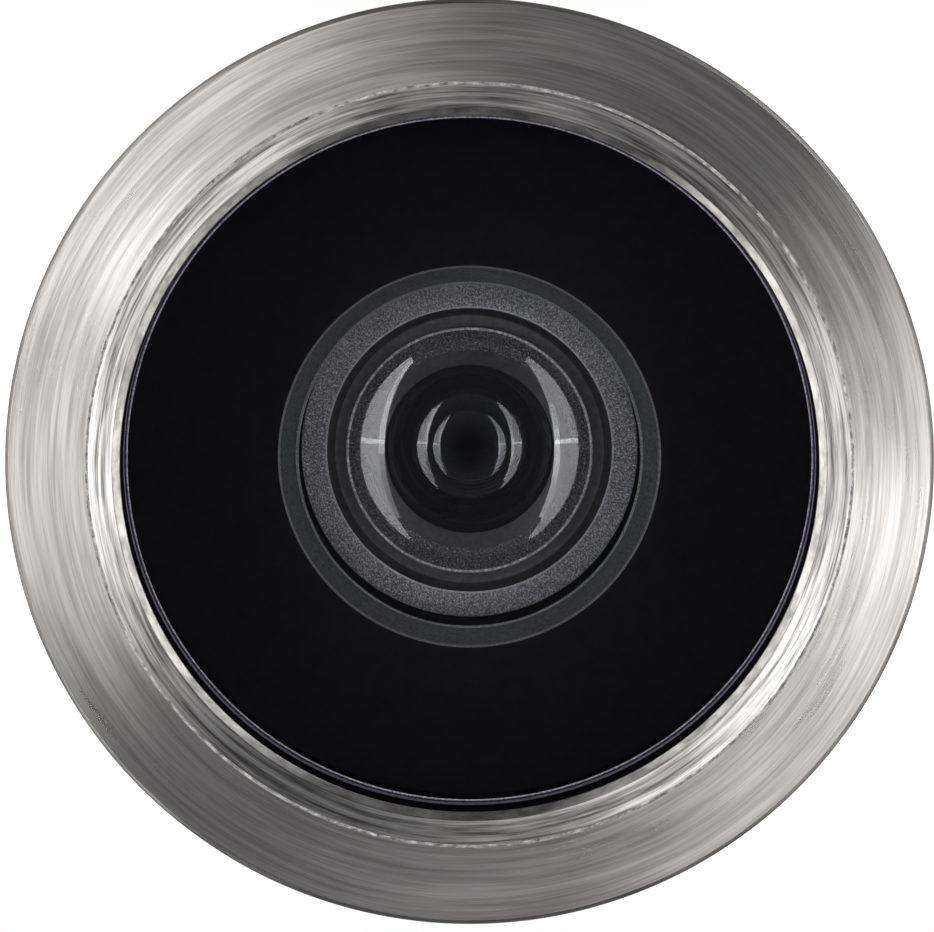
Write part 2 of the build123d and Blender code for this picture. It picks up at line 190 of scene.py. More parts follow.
def raised(tree, shader, height, strength, depth):
    """Relief on the surface: its shading follows the height, which is depth metres from 0 to 1."""
    bump = node(tree, "ShaderNodeBump", {"Height": height, "Strength": strength, "Distance": depth})
    tree.links.new(bump.outputs[0], shader.inputs["Normal"])


def finish_of(name):
    """New material: returns it with its tree, its Principled shader and its object coordinates."""
    material = bpy.data.materials.new(name)
    material.use_nodes = True
    tree = material.node_tree
    shader = tree.nodes["Principled BSDF"]
    position = tree.nodes.new("ShaderNodeTexCoord").outputs["Object"]
    return material, tree, shader, position


def group_of(name, inputs, outputs):
    """New shader node group with named sockets; returns it with its input and output nodes."""
    group = bpy.data.node_groups.new(name, "ShaderNodeTree")
    for label, kind, value in inputs:
        socket = group.interface.new_socket(label, in_out="INPUT", socket_type=kind)
        if value is not None:
            socket.default_value = value
    for label, kind in outputs:
        group.interface.new_socket(label, in_out="OUTPUT", socket_type=kind)
    return group, group.nodes.new("NodeGroupInput"), group.nodes.new("NodeGroupOutput")


# Lathe lines: noise stretched along circles about a line parallel to Y, so that it is fine across
# the radius and the length and long around the ring. The patches are the same at a broader scale.
lathe_lines, given, taken = group_of(
    "lathe_lines",
    [
        ("Position", "NodeSocketVector", None),
        ("Centre", "NodeSocketVector", None),
        ("Fineness", "NodeSocketFloat", 9000.0),
        ("Length", "NodeSocketFloat", 4.0),
    ],
    [("Lines", "NodeSocketFloat"), ("Patches", "NodeSocketFloat")],
)
both_places = {0: given.outputs["Position"], 1: given.outputs["Centre"]}
local = node(lathe_lines, "ShaderNodeVectorMath", both_places, operation="SUBTRACT")
parts = node(lathe_lines, "ShaderNodeSeparateXYZ", {0: local.outputs[0]})
flat = node(lathe_lines, "ShaderNodeCombineXYZ", {0: parts.outputs[0], 1: parts.outputs[2]})
reach = node(lathe_lines, "ShaderNodeVectorMath", {0: flat.outputs[0]}, operation="LENGTH")
turn = node(lathe_lines, "ShaderNodeVectorMath", {0: flat.outputs[0]}, operation="NORMALIZE")
turn_and_length = {0: turn.outputs[0], "Scale": given.outputs["Length"]}
around = node(lathe_lines, "ShaderNodeVectorMath", turn_and_length, operation="SCALE")
around_parts = node(lathe_lines, "ShaderNodeSeparateXYZ", {0: around.outputs[0]})
depth = arithmetic(lathe_lines, "ADD", reach.outputs["Value"], parts.outputs[1])
across = arithmetic(lathe_lines, "MULTIPLY", depth, given.outputs["Fineness"])
stretched_parts = {0: around_parts.outputs[0], 1: around_parts.outputs[1], 2: across}
stretched = node(lathe_lines, "ShaderNodeCombineXYZ", stretched_parts)
broader = {0: stretched.outputs[0], 1: (0.7, 0.7, 0.12)}
broad = node(lathe_lines, "ShaderNodeVectorMath", broader, operation="MULTIPLY")
lathe_lines.links.new(noise(lathe_lines, stretched.outputs[0], 1.0, 3.0, 0.75), taken.inputs["Lines"])
lathe_lines.links.new(noise(lathe_lines, broad.outputs[0], 1.0, 2.0), taken.inputs["Patches"])


def turned_metal(
    name, dark, light, fineness, length, roughness, relief, anisotropy=0.0, skew=0.0, centre=(0, 0, 0)
):
    """Turned metal: colour, roughness and relief follow the lathe lines about the centre. With
    anisotropy, its highlights are drawn out over the lines, turned by the skew in degrees."""
    material, tree, shader, position = finish_of(name)
    lines = node(tree, "ShaderNodeGroup", node_tree=lathe_lines)
    tree.links.new(position, lines.inputs["Position"])
    lines.inputs["Centre"].default_value = centre
    lines.inputs["Fineness"].default_value = fineness
    lines.inputs["Length"].default_value = length
    colour = two_tone(tree, spread(tree, lines.outputs["Lines"], 0.36, 0.64), dark, light)
    tree.links.new(colour, shader.inputs["Base Color"])
    smoothest = roughness * 0.85
    roughest = roughness * 1.15
    rough = spread(tree, lines.outputs["Patches"], 0.3, 0.7, smoothest, roughest)
    tree.links.new(rough, shader.inputs["Roughness"])
    raised(tree, shader, lines.outputs["Lines"], relief, 0.00002)
    shader.inputs["Metallic"].default_value = 1.0
    if anisotropy:
        shader.inputs["Anisotropic"].default_value = anisotropy
        shader.inputs["Anisotropic Rotation"].default_value = 0.25 + skew / 360.0
        tangent = node(tree, "ShaderNodeTangent", direction_type="RADIAL", axis="Y")
        tree.links.new(tangent.outputs[0], shader.inputs["Tangent"])
    return material


def matt_paint(name, dark, light, grain):
    """Dull, slightly uneven paint: noise of that grain takes its colour from dark to light."""
    material, tree, shader, position = finish_of(name)
    mottle = spread(tree, noise(tree, position, grain, 5.0, 0.7), 0.3, 0.7)
    tree.links.new(two_tone(tree, mottle, dark, light), shader.inputs["Base Color"])
    shader.inputs["Roughness"].default_value = 0.9
    shader.inputs["Specular IOR Level"].default_value = 0.0
    return material


RIM_RADIUS = 14.05
CREST_RADIUS = 11.53
BEVEL_TOP = 11.49
BEVEL_FOOT = 10.80
OPENING_RADIUS = 10.55
BORE_FRONT = -7.70
BORE_BAND_FRONT = -6.35
BRUSH_SKEW = 41.0

bezel_profile = softened([
    (12.40, -0.80, 0.05),
    (RIM_RADIUS, -0.80, 0.15),
    (RIM_RADIUS, -7.46, 0.05),
    (13.93, -7.57, 0.02),
    (CREST_RADIUS, -8.20, 0.05),
    (10.77, -7.90, 0.03),
    (OPENING_RADIUS, -7.75, 0.03),
    (OPENING_RADIUS, BORE_BAND_FRONT),
    (OPENING_RADIUS, -5.70, 0.05),
    (11.38, -5.70, 0.03),
    (11.38, -4.90, 0.03),
    (12.40, -4.90, 0.03),
])
bezel = turned("bezel_ring_turned", bezel_profile, columns=384)
brushed_bezel = turned_metal(
    "brushed_bezel", dark=(0.55, 0.52, 0.485), light=(0.87, 0.845, 0.81), fineness=6800.0,
    length=2.6, roughness=0.30, relief=0.02, anisotropy=0.85, skew=BRUSH_SKEW)
turned_bevel = turned_metal(
    "turned_bevel", dark=(0.18, 0.172, 0.162), light=(0.94, 0.915, 0.88), fineness=12500.0,
    length=2.6, roughness=0.34, relief=0.10, anisotropy=0.8, skew=BRUSH_SKEW)
crest_line = turned_metal(
    "crest_line", dark=(0.20, 0.19, 0.18), light=(0.78, 0.76, 0.73), fineness=9000.0,
    length=40.0, roughness=0.55, relief=0.05)
# Painted shade: the lip's chamfer gets a much darker copy of the nickel.
lip_chamfer_painted_shade = turned_metal(
    "lip_chamfer_painted_shade", dark=(0.12, 0.117, 0.11), light=(0.29, 0.28, 0.267), fineness=9000.0,
    length=9.0, roughness=0.36, relief=0.04, anisotropy=0.8, skew=BRUSH_SKEW)
# Painted shade: the rim's outer edge gets a much darker copy of the nickel.
rim_edge_painted_shade = turned_metal(
    "rim_edge_painted_shade", dark=(0.14, 0.13, 0.12), light=(0.24, 0.23, 0.215), fineness=9000.0,
    length=8.0, roughness=0.40, relief=0.04)
# The bore in front of the glass is painted near black, with a paler violet-grey band next to the
# glass.
near_black_bore = matt_paint("near_black_bore", (0.001, 0.001, 0.0015), (0.004, 0.004, 0.005), 2500.0)
violet_grey_bore_band = matt_paint("violet_grey_bore_band", (0.02, 0.019, 0.027), (0.14, 0.13, 0.175), 9000.0)
bezel.data.materials.append(brushed_bezel)
paint(bezel, turned_bevel, inner=BEVEL_FOOT, outer=BEVEL_TOP, back=-7.0)
paint(bezel, crest_line, inner=BEVEL_TOP, outer=11.57, back=-7.0)
paint(bezel, lip_chamfer_painted_shade, inner=10.53, outer=BEVEL_FOOT, back=BORE_FRONT)
paint(bezel, rim_edge_painted_shade, inner=13.89, back=-7.30)
paint(bezel, near_black_bore, outer=10.56, front=BORE_FRONT)
paint(bezel, violet_grey_bore_band, outer=10.56, front=BORE_BAND_FRONT, back=-5.72)
fitted(bezel, "outer", ["bezel_ring"])


# Lens seal
# Thin ring moulded in black rubber. It lies between the shoulder of the lens and the lip of the
# bezel and keeps the rain out.


def tinted_grey(tree, shade, cast):
    """Grey of that shade, with its blue multiplied by the cast."""
    blue = arithmetic(tree, "MULTIPLY", shade, cast)
    return node(tree, "ShaderNodeCombineColor", {0: shade, 1: shade, 2: blue}).outputs[0]


RUBBER_SHADE = 0.02
RUBBER_GRAIN = 6000.0

seal_profile = softened([
    (10.57, -5.69, 0.12),
    (11.27, -5.69, 0.12),
    (11.27, -5.41, 0.12),
    (10.57, -5.41, 0.12),
])
seal = turned("lens_seal_ring", seal_profile, columns=128)
rubber, tree, shader, position = finish_of("black_rubber")
dust = noise(tree, position, RUBBER_GRAIN * 0.15, 5.0, 0.7)
dusty = spread(tree, dust, 0.35, 0.75, RUBBER_SHADE * 0.8, RUBBER_SHADE * 1.9)
tree.links.new(tinted_grey(tree, dusty, 1.0), shader.inputs["Base Color"])
skin = noise(tree, position, RUBBER_GRAIN, 4.0)
tree.links.new(spread(tree, skin, 0.3, 0.7, 0.62, 0.85), shader.inputs["Roughness"])
raised(tree, shader, skin, 0.35, 0.00003)
seal.data.materials.append(rubber)
fitted(seal, "outer", ["lens_seal"])


# Front lens
# One piece of polished crown glass: a flat face on a raised pilot in the bezel's opening, and a
# spherical bowl ground into its back inside a ground chamfer. Its edge and the flat rim behind are
# painted black, and the lip of the bezel holds it by its shoulder.


def sphere_arc(sphere_radius, start, end, rim_y, towards, count):
    """Points of a spherical surface from one radius to another, of which the larger is its rim:
    y leaves the rim's plane by the cap's depth at that radius, outdoors for towards -1 and
    indoors for towards 1."""
    r = np.linspace(start, end, count)
    rim = max(start, end)
    deep = np.sqrt(sphere_radius ** 2 - r ** 2) - np.sqrt(sphere_radius ** 2 - rim ** 2)
    return np.stack([r, rim_y + towards * deep], 1)


def optical_glass(name, colour, refraction):
    """Polished glass with a trace of haze in patches."""
    material, tree, shader, position = finish_of(name)
    shader.inputs["Base Color"].default_value = (*colour, 1)
    shader.inputs["Transmission Weight"].default_value = 1.0
    shader.inputs["IOR"].default_value = refraction
    haze = spread(tree, noise(tree, position, 900.0, 4.0), 0.35, 0.75, 0.0, 0.006)
    tree.links.new(haze, shader.inputs["Roughness"])
    return material


GLASS_FACE = -5.90
PILOT_RADIUS = 10.52
SHOULDER_RADIUS = 11.28
LENS_BACK = -4.02
CHAMFER_RADIUS = 5.90
BOWL_RADIUS = 5.37
BOWL_RIM = -3.05

lens_outline = softened([
    (0.0, GLASS_FACE),
    (PILOT_RADIUS, GLASS_FACE, 0.07),
    (PILOT_RADIUS, -5.40, 0.04),
    (SHOULDER_RADIUS, -5.40, 0.12),
    (SHOULDER_RADIUS, LENS_BACK, 0.12),
    (5.88, LENS_BACK, 0.02),
    (5.83, -3.925),
    (BOWL_RADIUS, BOWL_RIM),
], closed=False, steps=8)
lens_face = [[4.0, GLASS_FACE], [9.0, GLASS_FACE]]
bowl = sphere_arc(10.4, BOWL_RADIUS, 0.0, BOWL_RIM, -1, 56)
lens_profile = np.concatenate([lens_outline[:1], lens_face, lens_outline[1:], bowl[1:]])
lens = turned("front_lens_ground", lens_profile, closed=False, columns=256)
black_edge_paint = matt_paint(
    "black_edge_paint", (0.0100, 0.0093, 0.0138), (0.0150, 0.0138, 0.0200), 2500.0)
ground_chamfer = matt_paint("ground_chamfer", (0.042, 0.044, 0.050), (0.095, 0.100, 0.108), 9000.0)
# Painted highlight: the outer corner of the chamfer is painted paler than the chamfer.
chamfer_corner_highlight = matt_paint("chamfer_corner_highlight", (0.11, 0.11, 0.12), (0.24, 0.24, 0.26), 9000.0)
# The pilot's ground edge is painted pale violet grey: a ground edge with a painted violet reflection
# on it.
ground_edge_and_reflection = matt_paint("ground_edge_and_reflection", (0.12, 0.115, 0.15), (0.95, 0.91, 1.0), 9000.0)
lens.data.materials.append(optical_glass("crown_glass", (0.955, 0.955, 0.97), 1.5168))
paint(lens, black_edge_paint, inner=CHAMFER_RADIUS, front=-5.70)
paint(lens, ground_chamfer, inner=5.38, outer=CHAMFER_RADIUS, front=-4.1)
paint(lens, chamfer_corner_highlight, inner=5.82, outer=CHAMFER_RADIUS, front=-4.1)
paint(lens, ground_edge_and_reflection, inner=10.45, outer=10.60, back=-5.70)
fitted(lens, "outer", ["front_lens"])


# Lens mask
# Ring punched from black foil. It is laid behind the painted rim of the lens, so that no light
# comes through the paint.

mask_profile = softened([
    (5.91, -3.99, 0.02),
    (11.26, -3.99, 0.02),
    (11.26, -3.82, 0.02),
    (5.91, -3.82, 0.02),
])
mask = turned("lens_mask_foil", mask_profile, columns=128)
foil, tree, shader, position = finish_of("black_foil")
mottle = spread(tree, noise(tree, position, 1500.0, 5.0), 0.3, 0.7, 0.024, 0.034)
tree.links.new(tinted_grey(tree, mottle, 1.45), shader.inputs["Base Color"])
shader.inputs["Roughness"].default_value = 0.5
shader.inputs["Specular IOR Level"].default_value = 0.1
mask.data.materials.append(foil)
fitted(mask, "outer", ["lens_mask"])


# Outer barrel
# Nickel-plated brass tube with the lens cup and flange at its outdoor end. A fine thread is cut
# inside from behind the lens stack to the indoor end, where the eyepiece sleeve screws in.

THREAD_PITCH = 1.0
ROWS_PER_PITCH = 10


def helical_thread(crest_radius, valley_radius, start, end, columns):
    """Rows of a screw thread: radius swings between crest and valley as the cosine of the angle
    less one turn per pitch along the axis, and fades to the crest's radius over the last pitch at
    either end. Returns radius and height, each rows by columns."""
    rows = int(round((end - start) / THREAD_PITCH * ROWS_PER_PITCH)) + 1
    y = np.linspace(start, end, rows)[:, None]
    turn = 2 * np.pi * np.arange(columns)[None, :] / columns
    wave = np.cos(turn - 2 * np.pi * y / THREAD_PITCH)
    fade = np.clip(np.minimum(y - start, end - y) / THREAD_PITCH, 0, 1)
    middle = (crest_radius + valley_radius) / 2
    swing = (crest_radius - valley_radius) / 2
    radius = crest_radius + fade * (middle + swing * wave - crest_radius)
    return radius, np.repeat(y, columns, 1)


def stacked(pieces, columns):
    """Joins plain (radius, y) profiles and threaded stretches into one grid, in order."""
    radius = [p[0] if isinstance(p, tuple) else np.repeat(p[:, :1], columns, 1) for p in pieces]
    height = [p[1] if isinstance(p, tuple) else np.repeat(p[:, 1:], columns, 1) for p in pieces]
    return np.concatenate(radius), np.concatenate(height)


BARREL_COLUMNS = 160

barrel_outside = softened([
    (6.20, 4.27, 0.03),
    (6.20, -3.81, 0.05),
    (11.38, -3.81, 0.05),
    (11.38, -4.90, 0.05),
    (12.37, -4.90, 0.05),
    (12.37, -0.80, 0.08),
    (11.38, -0.80, 0.03),
    (11.38, -1.10, 0.03),
    (10.38, -1.10, 0.03),
    (10.38, -0.80, 0.03),
    (7.40, -0.80, 0.03),
    (7.40, 0.00, 0.03),
    (7.00, 0.00, 0.03),
    (7.00, 33.50, 0.08),
    (6.50, 34.00, 0.03),
], closed=False)
barrel_thread = helical_thread(6.45, 6.60, 4.4, 33.9, BARREL_COLUMNS)
barrel_inside = (barrel_thread[0][::-1], barrel_thread[1][::-1])
radius, height = stacked([barrel_outside, barrel_inside], BARREL_COLUMNS)
barrel = ring_mesh("outer_barrel_turned", radius, height)
plated_barrel = turned_metal(
    "plated_barrel", dark=(0.56, 0.53, 0.47), light=(0.70, 0.67, 0.61), fineness=6000.0,
    length=3.0, roughness=0.30, relief=0.35)
barrel.data.materials.append(plated_barrel)
fitted(barrel, "outer", ["outer_barrel"])


# Outer gasket
# Flat ring moulded in black rubber, pushed over the spigot behind the flange. It is squeezed
# against the outer face of the door.

gasket_profile = softened([
    (7.50, -0.79, 0.10),
    (13.20, -0.79, 0.12),
    (13.20, -0.01, 0.12),
    (7.50, -0.01, 0.10),
])
gasket = turned("outer_gasket_ring", gasket_profile, columns=192)
gasket.data.materials.append(rubber)
fitted(gasket, "outer", ["outer_gasket"])


# Baffle ring
# Stepped ring moulded in black: a dished face with a spark texture, a wall, a cove, a thin lip
# painted pale as a highlight and a cone down to the aperture. It lies behind the bowl, holds the
# second lens off it and hides the barrel's wall.


def moulded_black(name, dark, light, grain, pits, roughness, spark=0.0, cast=1.06):
    """Moulded black plastic: pale and dark grains of one size with a slight violet cast, a few of
    them brighter by the spark, and a relief of pits that many metres deep."""
    material, tree, shader, position = finish_of(name)
    grit = noise(tree, position, grain, 2.0, 0.6)
    grey = spread(tree, grit, 0.42, 0.66, dark, light)
    glint = spread(tree, grit, 0.66, 0.72, 0.0, spark)
    shade = arithmetic(tree, "ADD", grey, glint)
    tree.links.new(tinted_grey(tree, shade, cast), shader.inputs["Base Color"])
    cells = node(tree, "ShaderNodeTexVoronoi", {"Vector": position, "Scale": grain * 0.9})
    raised(tree, shader, cells.outputs["Distance"], 0.8, pits)
    shader.inputs["Roughness"].default_value = roughness
    return material


APERTURE_CONE = 3.62
LIP_INNER = 4.255
COVE_INNER = 4.42
WALL_OUTER = 4.94

baffle_profile = softened([
    (6.13, -3.80, 0.03),
    (6.13, -0.44, 0.05),
    (3.68, -0.44, 0.03),
    (3.11, -0.83, 0.03),
    (APERTURE_CONE, -1.19),
    (4.25, -1.64),
    (4.28, -1.66, 0.02),
    (4.34, -1.66, 0.02),
    (4.34, -1.02, 0.02),
    (COVE_INNER, -1.02, 0.02),
    (COVE_INNER, -1.27, 0.03),
    (4.77, -1.27, 0.14),
    (4.91, -1.45, 0.10),
    (4.95, -1.775, 0.02),
    (5.00, -1.785),
    (5.69, -1.95, 0.04),
    (5.69, -1.59, 0.03),
    (5.95, -1.59, 0.03),
    (5.95, -3.80, 0.03),
])
baffle = turned("baffle_ring_moulded", baffle_profile, columns=192)
matt_collar = moulded_black(
    "matt_black_collar", dark=0.003, light=0.008, grain=7000.0, pits=0.00003, roughness=0.6)
spark_texture = moulded_black(
    "spark_textured_black", dark=0.24, light=0.85, grain=18000.0, pits=0.00006, roughness=0.40,
    spark=0.4)
# Painted highlight: the inner edge of the spark-textured face is painted pale.
edge_painted_highlight = moulded_black(
    "texture_edge_painted_highlight", dark=0.60, light=0.95, grain=14000.0, pits=0.00003, roughness=0.40,
    spark=0.3)
# One satin black in two copies: the wall painted darker as shade, the cove paler as light.
satin_wall_painted_shade = moulded_black(
    "satin_black_wall_painted_shade", dark=0.05, light=0.08, grain=4000.0, pits=0.00001, roughness=0.35)
satin_cove_painted_light = moulded_black(
    "satin_black_cove_painted_light", dark=0.15, light=0.20, grain=4000.0, pits=0.00001, roughness=0.35)
# Painted highlight: the thin lip is painted pale.
lip_painted_highlight = moulded_black(
    "lip_painted_highlight", dark=0.35, light=0.95, grain=9000.0, pits=0.00001, roughness=0.40, cast=1.0)
speckled_cone = moulded_black(
    "speckled_cone", dark=0.03, light=0.22, grain=18000.0, pits=0.00005, roughness=0.45, spark=0.4)
smooth_cone = moulded_black(
    "smooth_cone", dark=0.05, light=0.07, grain=5000.0, pits=0.00001, roughness=0.45)
baffle.data.materials.append(matt_collar)
paint(baffle, spark_texture, inner=4.93, outer=5.70, back=-1.62)
paint(baffle, edge_painted_highlight, inner=WALL_OUTER, outer=5.00, back=-1.74)
paint(baffle, satin_wall_painted_shade, inner=4.78, outer=WALL_OUTER, front=-1.765, back=-1.2)
paint(baffle, satin_cove_painted_light, inner=COVE_INNER, outer=4.80, front=-1.5, back=-1.2)
paint(baffle, lip_painted_highlight, inner=LIP_INNER, outer=4.345, back=-1.6)
paint(baffle, speckled_cone, inner=APERTURE_CONE, outer=LIP_INNER, back=-0.9)
paint(baffle, smooth_cone, inner=3.08, outer=APERTURE_CONE, back=-0.8)
fitted(baffle, "outer", ["baffle_ring"])


# Second lens
# Meniscus lens behind the baffle ring, its dome standing forward through the baffle's opening and
# its rear hollow. Its edge and the flats around both faces are painted black.

DOME_RADIUS = 3.52
HOLLOW_RADIUS = 3.20

second_profile = np.concatenate([
    sphere_arc(5.6, 0.0, DOME_RADIUS, -0.42, -1, 40),
    softened([
        (DOME_RADIUS, -0.418),
        (6.08, -0.418, 0.08),
        (6.08, 0.86, 0.08),
        (HOLLOW_RADIUS, 0.86),
    ], closed=False),
    sphere_arc(3.9, HOLLOW_RADIUS, 0.0, 0.86, -1, 40)[1:],
])
second = turned("second_lens_ground", second_profile, closed=False, columns=192)
coated_glass = optical_glass("coated_glass", (0.90, 0.93, 0.97), 1.48)
black_edge = matt_paint("black_lens_edge", (0.001, 0.001, 0.001), (0.003, 0.003, 0.003), 2500.0)
second.data.materials.append(coated_glass)
paint(second, black_edge, inner=3.53, front=-0.43, back=0.83)
paint(second, black_edge, inner=3.21, front=0.5)
fitted(second, "outer", ["second_lens"])


# Lens spacer
# Plain ring moulded in matt black plastic. It lies loose in the barrel and keeps the second and
# third lens apart.

spacer_profile = softened([
    (4.20, 0.88, 0.05),
    (6.12, 0.88, 0.05),
    (6.12, 1.76, 0.05),
    (4.20, 1.76, 0.05),
])
spacer = turned("lens_spacer_moulded", spacer_profile, columns=128)
matt_black = moulded_black(
    "matt_black", dark=0.006, light=0.015, grain=7000.0, pits=0.00003, roughness=0.6)
spacer.data.materials.append(matt_black)
fitted(spacer, "outer", ["lens_spacer"])


# Third lens
# Field lens of coated glass with a flat front and a domed rear, its edge painted black. It lies
# against the spacer, and the retainer holds it there.

FIELD_DOME = 4.20

third_profile = np.concatenate([
    [(0.0, 1.78), (3.0, 1.78)],
    softened([
        (FIELD_DOME, 1.78),
        (6.08, 1.78, 0.08),
        (6.08, 2.76, 0.08),
        (FIELD_DOME, 2.76),
    ], closed=False),
    sphere_arc(12.0, FIELD_DOME, 0.0, 2.76, 1, 32)[1:],
])
third = turned("third_lens_ground", third_profile, closed=False, columns=160)
third.data.materials.append(coated_glass)
paint(third, black_edge, inner=4.21)
fitted(third, "outer", ["third_lens"])


# Objective retainer
# Ring of blackened brass with a slot for a fork key. It is screwed into the barrel behind the
# third lens and locks the lens stack.

retainer_black = turned_metal(
    "blackened_brass", dark=(0.03, 0.03, 0.032), light=(0.07, 0.068, 0.065), fineness=7000.0,
    length=3.0, roughness=0.4, relief=0.3)
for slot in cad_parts["objective_retainer"].material_slots:
    slot.material = retainer_black


# Inner washer
# Flat washer moulded in black nylon. It lies between the sleeve's flange and the door, so that
# the flange can turn.

washer_profile = softened([
    (6.60, 44.01, 0.10),
    (13.20, 44.01, 0.12),
    (13.20, 44.79, 0.12),
    (6.60, 44.79, 0.10),
])
washer = turned("inner_washer_moulded", washer_profile, columns=192)
black_nylon = moulded_black(
    "black_nylon", dark=0.018, light=0.035, grain=3000.0, pits=0.00002, roughness=0.45)
washer.data.materials.append(black_nylon)
fitted(washer, "washer", ["inner_washer"])


# Eyepiece sleeve
# Turned brass in one piece, nickel plated: a threaded tube that screws into the barrel and a
# flange that clamps the indoor face of the door. Two notches in the flange's edge take the key.

NICKEL_DARK = (0.60, 0.565, 0.52)
NICKEL_LIGHT = (0.76, 0.735, 0.70)
FLANGE_RADIUS = 14.0
NOTCH_DEPTH = 1.1
NOTCH_HALF_WIDTH = 1.2
NOTCH_FRONT = 46.4
WALL_SLACK = 0.05
SLEEVE_COLUMNS = 240

# The columns nearest to a notch's wall are moved to just either side of it, so that it is steep.
turn = 2 * np.pi * np.arange(SLEEVE_COLUMNS) / SLEEVE_COLUMNS
notch_angle = np.arcsin(NOTCH_HALF_WIDTH / (FLANGE_RADIUS - NOTCH_DEPTH / 2))
slack_angle = WALL_SLACK / FLANGE_RADIUS
for centre in (0.0, np.pi, 2 * np.pi):
    for side in (-1, 1):
        for slack in (-slack_angle, slack_angle):
            wanted = centre + side * notch_angle + slack
            if 0 <= wanted < 2 * np.pi - 0.001:
                turn[np.argmin(np.abs(turn - wanted))] = wanted
turn = np.sort(turn)
sleeve_flange = softened([
    (6.40, 44.80, 0.05),
    (13.60, 44.80, 0.08),
    (FLANGE_RADIUS, 45.20, 0.12),
    (FLANGE_RADIUS, 47.60, 0.12),
    (13.60, 48.00, 0.08),
    (12.70, 48.00),
    (5.70, 48.00, 0.12),
    (5.70, 45.60, 0.05),
    (5.00, 45.60, 0.08),
    (5.00, 14.40, 0.08),
    (6.25, 14.40, 0.05),
], closed=False)
ledge = [[FLANGE_RADIUS, NOTCH_FRONT - 0.02], [FLANGE_RADIUS, NOTCH_FRONT + 0.02]]
above = np.argmax(sleeve_flange[:, 1] > NOTCH_FRONT)
sleeve_flange = np.concatenate([sleeve_flange[:above], ledge, sleeve_flange[above:]])
sleeve_thread = helical_thread(6.38, 6.12, 14.5, 44.7, SLEEVE_COLUMNS)
radius, height = stacked([sleeve_thread, sleeve_flange], SLEEVE_COLUMNS)
# A notch has a flat floor, so its radius grows with one over the cosine of the angle. What stands
# above the floor is pressed down to a five-hundredth of its height, which keeps its points apart.
in_notch = np.abs(np.mod(turn + np.pi / 2, np.pi) - np.pi / 2) < notch_angle
floor_radius = (FLANGE_RADIUS - NOTCH_DEPTH) / np.abs(np.cos(turn))
cut = (height > NOTCH_FRONT) & (radius > floor_radius) & in_notch
radius = np.where(cut, floor_radius + 0.002 * (radius - floor_radius), radius)
sleeve = ring_mesh("eyepiece_sleeve_turned", radius, height, angle=turn)
brushed_flange = turned_metal(
    "brushed_flange", dark=NICKEL_DARK, light=NICKEL_LIGHT, fineness=8000.0, length=5.0,
    roughness=0.30, relief=0.25, anisotropy=0.8, skew=50.0)
sleeve.data.materials.append(brushed_flange)
fitted(sleeve, "sleeve", ["eyepiece_sleeve"])


# Sleeve liner
# Thin tube of matt black plastic pushed into the sleeve. The grooves turned in its bore catch
# stray light on its way to the eye.

LINER_BORE = 4.60
GROOVE_RADIUS = 4.75
GROOVE_WIDTH = 1.5
GROOVE_SPACING = 3.0

liner_corners = [(4.98, 44.35, 0.04), (4.98, 15.01, 0.04), (LINER_BORE, 15.01, 0.04)]
for i in range(1, 9):
    groove = 15.0 + i * GROOVE_SPACING
    liner_corners += [
        (LINER_BORE, groove, 0.03),
        (GROOVE_RADIUS, groove, 0.03),
        (GROOVE_RADIUS, groove + GROOVE_WIDTH, 0.03),
        (LINER_BORE, groove + GROOVE_WIDTH, 0.03),
    ]
liner_corners.append((LINER_BORE, 44.35, 0.04))
liner = turned("sleeve_liner_tube", softened(liner_corners), columns=128)
liner.data.materials.append(matt_black)
fitted(liner, "sleeve", ["sleeve_liner"])


# Eyepiece lens
# Lens for the eye, of coated glass domed on both sides, with its edge painted black. It sits in
# the pocket of the flange.

EYE_DOME = 4.93

eyepiece_profile = np.concatenate([
    sphere_arc(12.0, 0.0, EYE_DOME, 45.61, -1, 32),
    softened([
        (EYE_DOME, 45.612),
        (5.63, 45.612, 0.08),
        (5.63, 46.79, 0.08),
        (EYE_DOME, 46.79),
    ], closed=False),
    sphere_arc(12.0, EYE_DOME, 0.0, 46.79, 1, 32)[1:],
])
eyepiece = turned("eyepiece_lens_ground", eyepiece_profile, closed=False, columns=160)
eyepiece.data.materials.append(coated_glass)
paint(eyepiece, black_edge, inner=4.94)
fitted(eyepiece, "sleeve", ["eyepiece_lens"])


# Eyepiece retainer
# Ring moulded in black plastic with a slot for a fork key. It is pressed in over the eyepiece
# lens.

retainer_plastic = moulded_black(
    "black_retainer", dark=0.012, light=0.03, grain=6000.0, pits=0.00004, roughness=0.5)
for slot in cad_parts["eyepiece_retainer"].material_slots:
    slot.material = retainer_plastic


# Privacy cover
# Plate stamped from brushed strip: a disc over the eyepiece, a neck to the pivot, a small ear that
# meets the stop pin and a tab for the finger knob. It swings aside to look out.


def cad_copy(name, source, rounding):
    """The CAD node's shape as a mesh of its own: doubled corner points are merged, triangles in
    one plane are joined, edges sharper than 30 degrees are rounded by that width in millimetres,
    and the rest is shaded smooth."""
    work = bmesh.new()
    work.from_mesh(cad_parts[source].data)
    bmesh.ops.remove_doubles(work, verts=work.verts, dist=1e-6)
    bmesh.ops.dissolve_limit(work, angle_limit=np.radians(0.5), verts=work.verts, edges=work.edges)
    mesh = bpy.data.meshes.new(name)
    work.to_mesh(mesh)
    work.free()
    mesh.polygons.foreach_set("use_smooth", np.ones(len(mesh.polygons), bool))
    piece = bpy.data.objects.new(name, mesh)
    bpy.context.scene.collection.objects.link(piece)
    bevel = piece.modifiers.new("rounding", "BEVEL")
    bevel.width = rounding * MM
    bevel.segments = 3
    bevel.limit_method = "ANGLE"
    bevel.angle_limit = np.radians(30.0)
    bevel.harden_normals = True
    return piece


